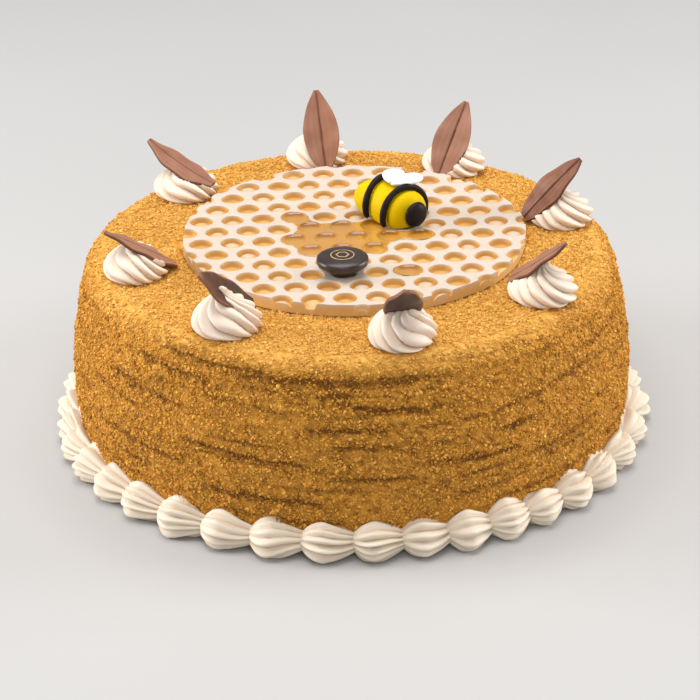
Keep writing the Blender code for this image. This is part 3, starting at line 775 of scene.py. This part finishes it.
# The cut rim shows the pale inside of the sheet, only a little browned
rim_at = add_node(tree, "ShaderNodeVectorMath", operation="DISTANCE",
                  links=[(0, where_node.outputs["Object"])])
rim_at.inputs[1].default_value = (PLAQUE_MIDDLE[0], PLAQUE_MIDDLE[1], 82.5 * MM)
on_rim = add_node(tree, "ShaderNodeMapRange", from_min=68.6 * MM, from_max=69.6 * MM, to_min=1.0,
                  to_max=0.50, links=[("Value", rim_at.outputs["Value"])])
walls = add_node(tree, "ShaderNodeMath", operation="MULTIPLY",
                 links=[(0, deep.outputs["Result"]), (1, on_rim.outputs["Result"])])
browned = add_node(tree, "ShaderNodeMath", operation="MULTIPLY", links=[(0, walls.outputs[0]), (1, paled)])
clouded = add_scaled(tree, add_noise(tree, 90.0, 3.0), 0.28, browned.outputs[0])
tint = add_ramp(tree, add_scaled(tree, clouded, 1.0, -0.14), [
    (0.0, (0.575, 0.487, 0.41)), (0.12, (0.57, 0.455, 0.34)), (0.4, (0.65, 0.41, 0.165)),
    (1.0, (0.60, 0.325, 0.082))])
tree.links.new(tint, shader.inputs["Base Color"])
shader.inputs["Roughness"].default_value = 0.42
shader.inputs["Specular IOR Level"].default_value = 0.4
shader.inputs["Subsurface Weight"].default_value = 0.10
shader.inputs["Subsurface Radius"].default_value = (1.0, 0.6, 0.35)
shader.inputs["Subsurface Scale"].default_value = 0.002
add_bump(tree, shader, add_noise(tree, 420.0, 2.0), 0.2, 0.0003)
plaque.data.materials.clear()
plaque.data.materials.append(white_chocolate)
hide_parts("honeycomb_plaque")
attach(plaque, "root")

# The honey
# Runny honey spooned on round the bee: it fills some pits and wets the web between them.
# It is clear amber, a little darker where it is deeper, and shines; the back of each pit is painted darker
# as painted shade.
HONEY_CELLS = ((4, -2), (5, -2), (5, -1), (5, 0), (6, -3), (6, -2), (6, -1), (6, 0), (6, 1),
               (7, -3), (7, -2), (7, -1), (9, -1))
# Rings of the honey over one pit: a thin film on the web, then a dish down into the pit
HONEY_RINGS = ((5.15, 0.14), (4.9, 0.02), (4.65, -0.22), (4.3, -0.40), (3.4, -0.50), (2.0, -0.46),
               (0.8, -0.42))
honey = join_patches("honey_film", HONEY_CELLS, HONEY_RINGS, spread=5.7)
where = points_of(honey)
flat = where * np.array([1, 1, 0])
film = np.where(where[:, 2] > -0.1 * MM, 1, 0.6)
where[:, 2] += PLAQUE_TOP + (0.12 * mottle(flat, 6 * MM, 21) + 0.2) * MM * film
set_points(honey, where)
close_below(honey, 0.9 * MM)
bpy.ops.object.shade_smooth()

honey_clear, tree, shader = new_material("runny_honey")
# The back of each pit is painted darker as painted shade
depth_and_back_shade = add_scaled(tree, add_value(tree, "toward"), 0.55, add_value(tree, "depth"))
tint = add_ramp(tree, add_scaled(tree, add_noise(tree, 220.0, 2.0), 0.25, depth_and_back_shade), [
    (0.0, (0.52, 0.255, 0.05)), (0.35, (0.48, 0.22, 0.035)), (0.58, (0.32, 0.12, 0.013)),
    (0.9, (0.19, 0.057, 0.006))])
tree.links.new(tint, shader.inputs["Base Color"])
shader.inputs["Roughness"].default_value = 0.06
shader.inputs["IOR"].default_value = 1.49
shader.inputs["Coat Weight"].default_value = 0.6
shader.inputs["Coat Roughness"].default_value = 0.03
honey.data.materials.append(honey_clear)
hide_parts(*[f"honey_cell_{n}" for n in range(1, 14)])
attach(honey, "root")

# The rosettes
# Eight rosettes of the same honey cream, pressed through a star nozzle held upright and turned,
# so that their ridges wind from the foot up to a small drawn-out peak.
ROSETTE_RIDGES = 10
# Height and radius in mm up a rosette, from its foot to its peak
ROSETTE_SHAPE = ((0.0, 11.4), (0.5, 12.4), (1.4, 13.2), (2.8, 13.7), (4.6, 13.5), (6.4, 12.6),
                 (8.2, 11.0), (9.8, 9.0), (11.2, 6.9), (12.3, 5.0), (13.2, 3.4), (14.0, 2.4),
                 (14.9, 1.9), (15.7, 1.6), (16.3, 1.0), (16.6, 0.0))
# Up to this share of its height a rosette makes room for its leaf, whatever its peak does
ROOM_FOR_LEAF = 0.30
# The rosettes' copy of the same cream, toned apart from the shells' as painted light and shade
rosette_cream = cream_material("honey_cream_top", (0.90, 0.86, 0.84))


def lofted(name, rings):
    """A smooth skin through rings of points; an end ring of one point closes to a tip."""
    points, faces, starts = [], [], []
    for ring in rings:
        starts.append(len(points))
        points += [list(p) for p in ring]
    for (a, ring_a), (b, ring_b) in zip(zip(starts, rings), zip(starts[1:], rings[1:])):
        count = max(len(ring_a), len(ring_b))
        for i in range(count):
            j = (i + 1) % count
            if len(ring_a) == 1:
                faces.append((a, b + j, b + i))
            elif len(ring_b) == 1:
                faces.append((a + i, a + j, b))
            else:
                faces.append((a + i, a + j, b + j, b + i))
    for start, ring in ((starts[0], rings[0]), (starts[-1], rings[-1])):
        if len(ring) > 1:
            faces.append(tuple(range(start, start + len(ring))))
    return new_piece(name, points, faces)


LEAF_LENGTH, LEAF_WIDTH, LEAF_THICK = 34.0 * MM, 15.2 * MM, 1.4 * MM
# Each leaf's heading, tilt and roll in degrees; how far its foot is from its rosette's middle
# along the heading, how far above the cake, its fold and its arch, in mm
LEAVES = (
    (154.0, 27.0, 2.0, -12.5, 5.4, -0.6, -1.0), (103.5, 62.0, -16.0, -16.0, 3.0, 2.0, 0.2),
    (56.5, 48.5, 16.0, -12.1, 2.2, 1.1, 0.3), (6.0, 47.0, 18.0, -15.8, 2.2, 0.5, 0.6),
    (-38.0, 39.6, 14.0, -15.6, 3.2, 0.2, -0.6), (-86.0, 43.5, 2.5, -5.0, 6.2, 0.8, -0.2),
    (-139.0, 39.0, -39.0, -12.0, 5.4, 0.3, -1.6), (-161.0, 33.0, 0.0, -16.6, 1.6, -0.5, 0.4))


def leaf_half(share):
    """Half the leaf's width at a share of its length."""
    return LEAF_WIDTH / 2 * np.sin(math.pi * (0.07 + 0.90 * share) ** 0.9) ** 0.85


def leaf_rise(share, side, fold, arch):
    """How high the leaf's middle surface lies: it is folded, arched and a little wavy."""
    rise = -arch * MM * (2 * share - 1) ** 2
    rise += fold * MM * np.abs(side) * leaf_half(share) / (LEAF_WIDTH / 2)
    return rise + 0.35 * MM * side * np.sin(2.6 * math.tau * share)


def leaf_placing(number):
    """Where leaf and rosette number meet, and how the leaf slants."""
    heading, tilt, roll, along, up = LEAVES[number - 1][:5]
    around, distance = ROSETTE_SPOTS[number - 1]
    turn = Matrix.Rotation(math.radians(heading), 4, "Z")
    angle = math.radians(around)
    foot = Vector((distance * MM * math.cos(angle), distance * MM * math.sin(angle),
                   CAKE_HEIGHT + up * MM))
    foot += turn @ Vector((along * MM, 0, 0))
    return (Matrix.Translation(foot) @ turn @ Matrix.Rotation(-math.radians(tilt), 4, "Y")
            @ Matrix.Rotation(math.radians(roll), 4, "X"))


def press_under_leaf(where, number):
    """Cream that would stand over the leaf is pressed down to the leaf's underside."""
    placing = np.array(leaf_placing(number))
    fold, arch = LEAVES[number - 1][5:]
    local = (where - placing[:3, 3]) @ placing[:3, :3]
    share = local[:, 0] / LEAF_LENGTH
    inside = np.clip(share, 0, 1)
    half = leaf_half(inside) + 0.5 * MM
    side = np.clip(local[:, 1] / half, -1, 1)
    floor = leaf_rise(inside, side, fold, arch) - LEAF_THICK * 0.6
    over = (np.abs(local[:, 1]) < half) & (share > -0.02) & (share < 1.02) & (local[:, 2] > floor)
    local[over, 2] = floor[over]
    return local @ placing[:3, :3].T + placing[:3, 3]


def make_rosette(number, around, distance, start, twist, lean, pull, drawn):
    """One rosette: star-shaped rings that turn as they rise; its peak is pulled off the middle."""
    heights, radii = np.array(ROSETTE_SHAPE).T
    share = np.linspace(0, 1, len(heights))
    fine = np.linspace(0, 1, 64)
    heights, radii = np.interp(fine, share, heights), np.interp(fine, share, radii)
    soft = np.convolve(np.pad(radii, 2, mode="edge"), np.ones(5) / 5, mode="valid")
    radii = 0.965 * np.where((fine > 0.04) & (fine < 0.95), soft, radii)
    heights = heights + drawn * np.clip((fine - 0.25) / 0.75, 0, 1) ** 0.6
    angle = np.linspace(0, math.tau, 140, endpoint=False)
    rings, furrow_shade = [], []
    for height, radius, level in zip(heights, radii, fine):
        turned = math.radians(start) - math.radians(twist) * level ** 1.15
        warp = 0.17 * np.sin(2 * angle + number) + 0.10 * np.sin(3 * angle + 2 * number)
        ridge = np.abs(np.cos(ROSETTE_RIDGES * (angle - turned + warp) / 2)) ** 0.75
        strong = 0.22 * min(1.0, 0.35 + 3.2 * level) * min(1.0, (1.03 - level) * 4.0)
        strong = strong * (1 + 0.35 * np.sin(3 * (angle - turned) + 2 * number))
        out_of_round = 1 + 0.025 * np.sin(angle * 2 + 3 * number)
        reach = radius * (1.0 - strong + 1.22 * strong * ridge) * out_of_round
        shift = pull * max(level - 0.45, 0.0) / 0.55
        ripple = 0.35 * (ridge - 0.5) * min(level * 5, 1.0) * (level < 0.85)
        rings.append(np.column_stack([np.cos(angle) * reach + shift * math.cos(lean),
                                      np.sin(angle) * reach + shift * math.sin(lean),
                                      height + ripple]) * MM)
        # How deep in a furrow each point is, which sets its painted shade
        furrow_shade.append(0.85 * (1 - ridge) ** 2 * min(1.0, (1.0 - level) * 3))
    rings[0][:, 2] = 0.0
    rings[-1] = rings[-1].mean(axis=0)[None]
    furrow_shade[-1] = furrow_shade[-1][:1]
    rosette = lofted(f"rosette_{number}_piped", rings)
    where = points_of(rosette)
    where = where + (0.18 * MM * mottle(where + number, 4 * MM, 31))[:, None] * np.array([1, 1, 0.3])
    angle = math.radians(around)
    where += np.array([distance * MM * math.cos(angle), distance * MM * math.sin(angle),
                       CAKE_HEIGHT - 0.2 * MM])
    pressed = press_under_leaf(where, number)
    if drawn:
        # The two front rosettes close over the foot of their leaf, which stands behind the peak
        free = [np.full(len(ring), level > ROOM_FOR_LEAF) for ring, level in zip(rings, fine)]
        free = np.concatenate(free)
        pressed[free] = where[free]
    set_points(rosette, pressed)
    set_values(rosette, "furrow_shade", np.concatenate(furrow_shade))
    smooth_outward(rosette)
    rosette.data.materials.append(rosette_cream)
    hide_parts(f"rosette_{number}")
    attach(rosette, "root")


# Each rosette: where its first ridge starts and how far it turns in degrees, which way its peak
# leans in radians, and how far the peak is pulled aside and drawn up in mm
PIPING = ((10, 200, 2.0, 1.6, 0), (40, 190, -1.6, 1.6, 0), (75, 195, -1.2, 1.6, 0),
          (5, 205, -2.0, 1.6, 0), (25, 195, -1.0, 1.6, 0), (12, 195, -0.25, 7.4, 3.0),
          (30, 200, -2.0, 3.4, 3.2), (55, 200, 0.9, 1.6, 0))
for number, (spot, piping) in enumerate(zip(ROSETTE_SPOTS, PIPING), 1):
    make_rosette(number, *spot, *piping)

# The leaves
# Thin milk chocolate leaves, brushed on a real leaf so that midrib and veins show, and pushed
# into the rosettes at different slants.
milk_chocolate, tree, shader = new_material("milk_chocolate_leaf")
bloom = add_noise(tree, 260.0, 4.0)
# The darker stops carry painted shade: undersides, grooves and leaves in shade
tint = add_ramp(tree, add_scaled(tree, bloom, 0.35, add_value(tree, "leaf_shade_and_tone")), [
    (0.0, (0.37, 0.175, 0.108)), (0.35, (0.28, 0.125, 0.074)), (0.65, (0.165, 0.062, 0.031)),
    (1.0, (0.05, 0.018, 0.008))])
tree.links.new(tint, shader.inputs["Base Color"])
shader.inputs["Roughness"].default_value = 0.45
shader.inputs["Specular IOR Level"].default_value = 0.3
add_bump(tree, shader, bloom, 0.25, 0.0002)

# How much darker than the rest each leaf is painted, as painted shade for how each is lit
LEAF_PAINTED_SHADES = (0.08, -0.10, 0.05, 0.32, 0.05, 0.0, 0.0, 0.05)
# The two leaves that turn their smooth backs to the front
FRONT_LEAVES = (6, 7)


def leaf_lines(side):
    """The fine lines beside the midrib: 0 in a line and 1 between two."""
    return np.abs(np.sin(np.abs(side) ** 0.9 * 5.5 * math.pi / 2))


for number, (*_, fold, arch) in enumerate(LEAVES, 1):
    put_down()
    bpy.ops.mesh.primitive_grid_add(x_subdivisions=70, y_subdivisions=40, size=1.0)
    leaf = bpy.context.object
    leaf.name = leaf.data.name = f"leaf_{number}_brushed"
    where = points_of(leaf)
    share, side = where[:, 0] + 0.5, where[:, 1] * 2
    half = leaf_half(share)
    height = leaf_rise(share, side, fold, arch)
    midrib = np.exp(-(side * half / (0.55 * MM)) ** 2) * np.clip((1.02 - share) * 5, 0, 1)
    midrib *= 0.15 if number in FRONT_LEAVES else 1.0
    lines = leaf_lines(side) ** 3 * (1 - np.clip(np.abs(side) * 6 - 5, 0, 1))
    height = height - 0.40 * MM * midrib - 0.035 * MM * (1 - lines) * (np.abs(side) > 0.1)
    set_points(leaf, np.column_stack([share * LEAF_LENGTH, side * half, height]))
    thick = leaf.modifiers.new("thick", "SOLIDIFY")
    thick.thickness = LEAF_THICK * 0.9
    thick.offset = 0.0
    bpy.ops.object.modifier_apply(modifier="thick")
    edge = leaf.modifiers.new("edge", "BEVEL")
    edge.width = 0.3 * MM
    edge.segments = 2
    edge.limit_method = "ANGLE"
    edge.angle_limit = math.radians(60)
    bpy.ops.object.modifier_apply(modifier="edge")
    where = points_of(leaf)
    share = np.clip(where[:, 0] / LEAF_LENGTH, 0, 1)
    side = where[:, 1] / (leaf_half(share) + 1e-6)
    under = where[:, 2] < leaf_rise(share, side, fold, arch) - 0.25 * MM
    # The midrib and fine lines are darkened as painted shade in their grooves; the mottle is the
    # chocolate's own uneven tone
    midrib = np.exp(-(where[:, 1] / (0.6 * MM)) ** 2)
    leaf_shade_and_tone = 0.42 * midrib + 0.10 * (1 - leaf_lines(side) ** 2) + 0.08 * mottle(where, 4 * MM, 40 + number)
    # The undersides are painted dark as painted shade
    leaf_shade_and_tone = np.where(under, 0.78, leaf_shade_and_tone + LEAF_PAINTED_SHADES[number - 1])
    if number in FRONT_LEAVES:
        # Their backs are painted dark as painted shade, with a paler edge as painted light; leaf 7 is also
        # paler towards its tip as painted light
        lit_edge = np.maximum(np.clip((np.abs(side) - 0.86) / 0.12, 0, 1),
                          np.clip((share - 0.90) / 0.08, 0, 1))
        leaf_shade_and_tone = 0.80 - 0.50 * lit_edge - 0.25 * np.clip(share - 0.45, 0, 1) * (number == 7)
    set_values(leaf, "leaf_shade_and_tone", leaf_shade_and_tone)
    leaf.data.transform(leaf_placing(number))
    smooth_outward(leaf)
    bpy.ops.object.shade_smooth_by_angle(angle=math.radians(40))
    leaf.data.materials.append(milk_chocolate)
    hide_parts(f"leaf_{number}")
    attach(leaf, "root")

# The bee
# Modelled by hand in fondant: a yellow body pressed flat underneath, two black ropes laid over
# it, a black ball for the face and two white wings stuck on top.
BEE_MIDDLE = Vector((18.3, 16.5, 0.0)) * MM
BEE_HEADINGS = (math.radians(-39), math.radians(-54))
BEE_HEIGHTS = (5.5 * MM, 4.3 * MM)
# How far each rope band lies from the bee's middle; the body bends between the two
BAND_ALONG = 6.9 * MM
# Toppings stand on the plaque at this height
ON_PLAQUE = PLAQUE_TOP + 0.3 * MM


def bee_frame(along):
    """The bee's axes at a place along its body: +Z runs along the body, +X points up."""
    share = min(max((along + BAND_ALONG) / (2 * BAND_ALONG), 0.0), 1.0)
    turn_to = BEE_HEADINGS[0] + share * (BEE_HEADINGS[1] - BEE_HEADINGS[0])
    bent = min(max(along, -BAND_ALONG), BAND_ALONG)
    middle_heading = (BEE_HEADINGS[0] + BEE_HEADINGS[1]) / 2
    half_turned = middle_heading + (turn_to - middle_heading) / 2
    place = BEE_MIDDLE + bent * Vector((math.cos(half_turned), math.sin(half_turned), 0))
    heading = Vector((math.cos(turn_to), math.sin(turn_to), 0))
    place += (along - bent) * heading
    place.z = ON_PLAQUE + BEE_HEIGHTS[0] + share * (BEE_HEIGHTS[1] - BEE_HEIGHTS[0])
    up = Vector((0, 0, 1))
    return Matrix.Translation(place) @ Matrix((up, heading.cross(up), heading)).transposed().to_4x4()


def fondant(name, colour, dusk, roughness):
    """Smooth sugar paste with a faint uneven tone and a hint of finger marks."""
    material, tree, shader = new_material(name)
    cloud = add_noise(tree, 240.0, 3.0)
    tree.links.new(add_ramp(tree, cloud, [(0.25, dusk), (0.65, colour)]), shader.inputs["Base Color"])
    shader.inputs["Roughness"].default_value = roughness
    shader.inputs["Specular IOR Level"].default_value = 0.07
    shader.inputs["Subsurface Weight"].default_value = 0.08
    shader.inputs["Subsurface Scale"].default_value = 0.001
    add_bump(tree, shader, cloud, 0.2, 0.0004)
    return material


def finish_bee(piece, node, material):
    """Smooths a piece of the bee, gives it its paste and puts it in its solid's place."""
    smooth_outward(piece)
    piece.data.materials.clear()
    piece.data.materials.append(material)
    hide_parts(node)
    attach(piece, "root")


yellow = fondant("yellow_paste", (0.68, 0.475, 0.0), (0.62, 0.41, 0.0), 0.5)
black = fondant("black_paste", (0.022, 0.016, 0.016), (0.012, 0.009, 0.009), 0.34)
white = fondant("white_paste", (0.84, 0.86, 0.87), (0.80, 0.82, 0.84), 0.5)

# Place along the body and radius there in mm, from the tail to the face
BEE_PROFILE = ((-19.4, 0.0), (-19.1, 1.8), (-18.4, 3.2), (-17.2, 4.7), (-15.6, 6.0), (-14.0, 7.0),
               (-12.2, 7.8), (-10.4, 8.3), (-8.9, 8.5), (-8.4, 8.1), (-5.5, 8.2), (-5.0, 9.3),
               (-3.5, 9.8), (0.0, 10.1), (3.2, 10.1), (4.8, 9.9), (5.3, 9.2), (8.5, 9.2), (8.9, 9.6),
               (10.2, 9.0), (11.4, 8.1), (12.4, 6.6), (13.0, 5.2), (13.4, 3.0), (13.5, 0.0))
BEE_SIDES = 72
rings = []
for along, radius in BEE_PROFILE:
    place = bee_frame(along * MM)
    ring = []
    for i in range(BEE_SIDES if radius else 1):
        angle = math.tau * i / BEE_SIDES
        point = place @ Vector((radius * MM * math.cos(angle), radius * MM * math.sin(angle), 0))
        point.z = max(point.z, ON_PLAQUE)
        ring.append(point)
    rings.append(ring)
finish_bee(lofted("bee_body_rolled", rings), "bee_body", yellow)

# Each rope band: place along the body, radius of its ring, and how wide it is open underneath
BANDS = ((-BAND_ALONG, 10.05 * MM, math.radians(126)), (BAND_ALONG, 11.0 * MM, math.radians(142)))
BAND_STEPS, BAND_SIDES, BAND_THICK = 72, 20, 1.35 * MM
for number, (along, ring_radius, opening) in enumerate(BANDS, 1):
    place = bee_frame(along)
    rings = []
    for i in range(BAND_STEPS + 1):
        angle = math.pi + opening / 2 + (math.tau - opening) * i / BAND_STEPS
        out = Vector((math.cos(angle), math.sin(angle), 0))
        thick = BAND_THICK * (1.0 + 0.05 * math.sin(5 * angle + number))
        # The rope thins a little towards its ends
        thick *= min(1.0, 0.55 + 0.2 * min(i, BAND_STEPS - i))
        ring = []
        for k in range(BAND_SIDES):
            round_rope = math.tau * k / BAND_SIDES
            ring.append(place @ (out * (ring_radius + thick * math.cos(round_rope))
                                 + Vector((0, 0, thick * math.sin(round_rope)))))
        rings.append(ring)
    finish_bee(lofted(f"bee_band_{number}_rolled", rings), f"bee_band_{number}", black)

# Height and radius of the face in mm, from the body out
FACE_PROFILE = ((0.0, 0.0), (0.0, 3.2), (0.5, 4.6), (1.5, 5.4), (2.4, 5.15), (3.2, 4.4), (3.8, 3.1),
                (4.15, 1.5), (4.2, 0.0))
FACE_SIDES = 48
place = bee_frame(13.3 * MM) @ Matrix.Translation((1.6 * MM, 0, 0))
rings = []
for height, radius in FACE_PROFILE:
    ring = []
    for i in range(FACE_SIDES if radius else 1):
        angle = math.tau * i / FACE_SIDES
        ring.append(place @ Vector((radius * MM * math.cos(angle), radius * MM * math.sin(angle),
                                    height * MM)))
    rings.append(ring)
finish_bee(lofted("bee_face_ball", rings), "bee_face", black)

# Each wing's heading in degrees, length and width in mm
WINGS = ((27.0, 14.6, 12.0), (80.0, 12.0, 12.0))
WING_STEPS = 48
# The rounded edge of a wing, from its underside to its top: height in mm and share of its size
WING_EDGE = ((0.0, 0.5), (0.0, 0.88), (0.25, 0.96), (0.8, 1.0), (1.35, 0.96), (1.6, 0.86), (1.6, 0.5))
for number, (heading, length, width) in enumerate(WINGS, 1):
    root = Vector((17.4 * MM, 13.2 * MM, ON_PLAQUE + 15.2 * MM + (number - 1) * 0.7 * MM))
    place = (Matrix.Translation(root) @ Matrix.Rotation(math.radians(heading), 4, "Z")
             @ Matrix.Rotation(-math.radians(3), 4, "Y"))
    outline = []
    for i in range(WING_STEPS):
        angle = math.tau * i / WING_STEPS
        x = length * MM * (0.5 - 0.5 * math.cos(angle))
        y = width * MM / 2 * math.sin(angle) * (0.5 + 0.5 * x / (length * MM))
        outline.append(Vector((x, y, 0)))
    middle = Vector((length * MM / 2, 0, 0))
    rings = [[middle + Vector((0, 0, 0.05 * MM))]]
    for height, share in WING_EDGE:
        rings.append([middle + (p - middle) * share + Vector((0, 0, height * MM)) for p in outline])
    rings.append([middle + Vector((0, 0, 1.5 * MM))])
    rings = [[place @ p for p in ring] for ring in rings]
    finish_bee(lofted(f"bee_wing_{number}_cut", rings), f"bee_wing_{number}", white)

# The button
# A dark chocolate button cast with a narrow foot and a flat domed cap, set on the plaque.
# Its cap carries a plain gold ring with a six-sided cell inside.
BUTTON_PLACE = Vector((-2.9, -37.6, 0.0)) * MM
# Radius and height in mm, from the middle of the foot up to the middle of the cap
BUTTON_PROFILE = ((0.0, 0.0), (5.2, 0.0), (5.4, 0.3), (5.5, 2.5), (6.4, 2.9), (9.2, 3.3), (10.1, 4.0),
                  (10.4, 5.2), (10.3, 6.3), (9.8, 6.8), (9.0, 7.15), (7.6, 7.45), (4.0, 7.7), (0.0, 7.8))
button = turn_profile("button_cast", [(r * MM, h * MM) for r, h in BUTTON_PROFILE], 72)
button.data.transform(Matrix.Translation(BUTTON_PLACE + Vector((0, 0, ON_PLAQUE))))
dark_chocolate, tree, shader = new_material("dark_chocolate_cast")
cloud = add_noise(tree, 300.0, 3.0)
tint = add_ramp(tree, cloud, [(0.3, (0.022, 0.013, 0.011)), (0.7, (0.040, 0.024, 0.020))])
tree.links.new(tint, shader.inputs["Base Color"])
shader.inputs["Roughness"].default_value = 0.32
add_bump(tree, shader, cloud, 0.15, 0.0002)
smooth_outward(button)
bpy.ops.object.shade_smooth_by_angle(angle=math.radians(50))
button.data.materials.append(dark_chocolate)
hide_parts("chocolate_button")
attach(button, "root")

gold, tree, shader = new_material("gold_print")
tint = add_ramp(tree, add_noise(tree, 900.0, 2.0), [(0.3, (0.42, 0.24, 0.09)), (0.7, (0.66, 0.45, 0.22))])
tree.links.new(tint, shader.inputs["Base Color"])
shader.inputs["Roughness"].default_value = 0.45
# Each gold mark: how many sides, and its radius, width and height above the plaque in mm
MARKS = (("button_ring", 64, 4.6, 0.5, 7.62), ("button_cell", 6, 2.5, 0.6, 7.72))
for name, sides, radius, wide, height in MARKS:
    put_down()
    bpy.ops.mesh.primitive_torus_add(major_segments=sides, minor_segments=8, major_radius=radius * MM,
                                     minor_radius=wide * MM / 2)
    print_mark = bpy.context.object
    print_mark.name = print_mark.data.name = name
    print_mark.data.transform(Matrix.Translation(BUTTON_PLACE + Vector((0, 0, ON_PLAQUE + height * MM)))
                              @ Matrix.Diagonal((1, 1, 0.3, 1)))
    bpy.ops.object.shade_smooth()
    print_mark.data.materials.append(gold)
    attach(print_mark, "root")
